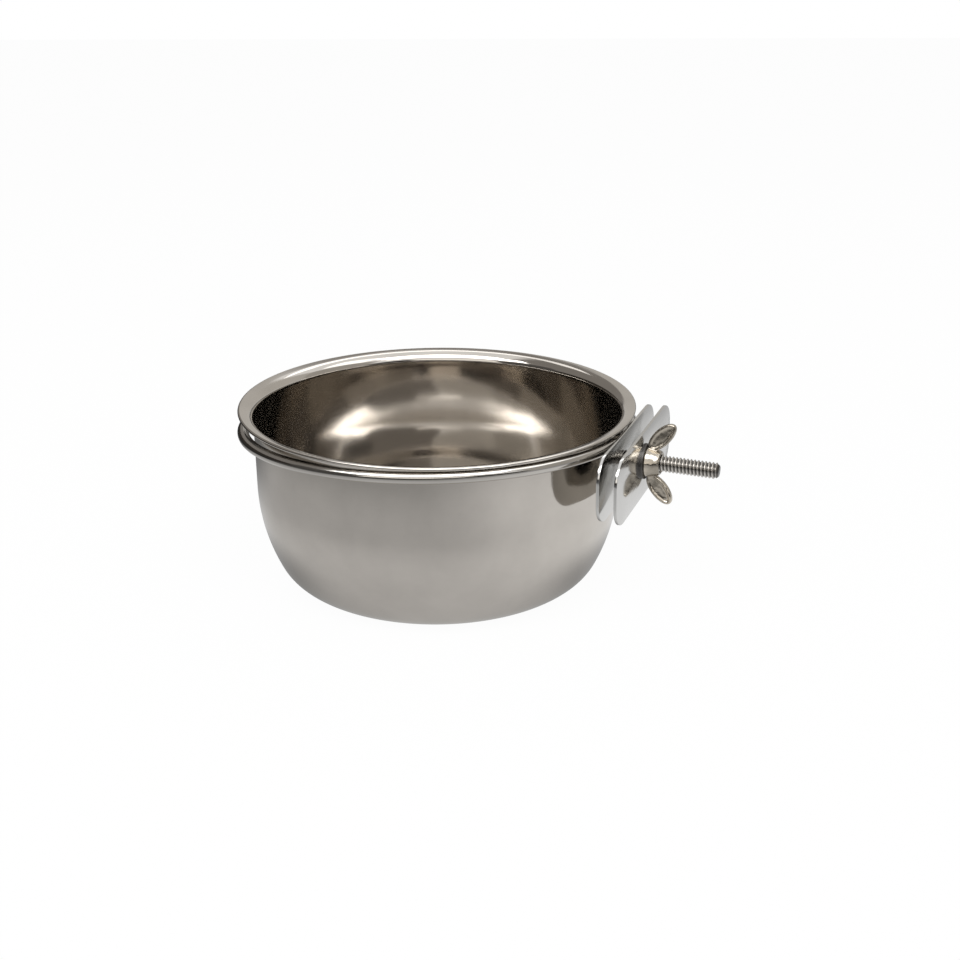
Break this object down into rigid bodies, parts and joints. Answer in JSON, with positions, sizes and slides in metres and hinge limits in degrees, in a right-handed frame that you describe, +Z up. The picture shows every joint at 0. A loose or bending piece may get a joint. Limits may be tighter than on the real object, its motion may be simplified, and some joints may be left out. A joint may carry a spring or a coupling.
{
  "type": "seed cup",
  "caption": "Round drawn steel seed cup held in a wire ring, with a bolt, loose plate and wing nut that clamp it to cage or coop wire.",
  "frame": {"origin": "centre of the cup's flat base, on the surface it stands on", "axes": "+Z up out of the cup; +X out from the cup along the clamp bolt, towards the wing nut"},
  "size_m": [0.1485, 0.1214, 0.0566],
  "materials": {
    "cup_steel": "polished stainless steel, a little soft",
    "ring_steel": "polished stainless wire",
    "weld_steel": "bright weld metal",
    "plate_steel": "polished stainless sheet",
    "bolt_steel": "bright zinc or stainless thread",
    "washer_steel": "plain steel",
    "nut_nickel": "cast nickel-plated, slightly warm"
  },
  "bodies": {
    "holder": {"holder_ring": "ring_steel", "weld_beads": "weld_steel", "fixed_plate": "plate_steel", "clamp_bolt": "bolt_steel"},
    "cup": {"cup": "cup_steel"},
    "washer": {"flat_washer": "washer_steel"},
    "loose_plate": {"loose_plate": "plate_steel"},
    "wing_nut": {"wing_nut": "nut_nickel"}
  },
  "joints": [
    {"name": "cup_lift", "type": "slide", "parent": "holder", "child": "cup", "axis": [0, 0, 1], "range_m": [0, 0.065]},
    {"name": "clamp_slide", "type": "slide", "parent": "holder", "child": "washer", "axis": [1, 0, 0], "range_m": [-0.004, 0.008]},
    {"name": "plate_swivel", "type": "hinge", "parent": "washer", "child": "loose_plate", "pos_m": [0.0655, 0, 0.0445], "axis": [1, 0, 0], "continuous": true},
    {"name": "nut_turn", "type": "hinge", "parent": "washer", "child": "wing_nut", "pos_m": [0.06665, 0, 0.0445], "axis": [1, 0, 0], "range_deg": [-1362, 2725]}
  ],
  "couplings": [
    {"joint": "nut_turn", "follows": "clamp_slide", "rad_per_m": 5937.1}
  ]
}
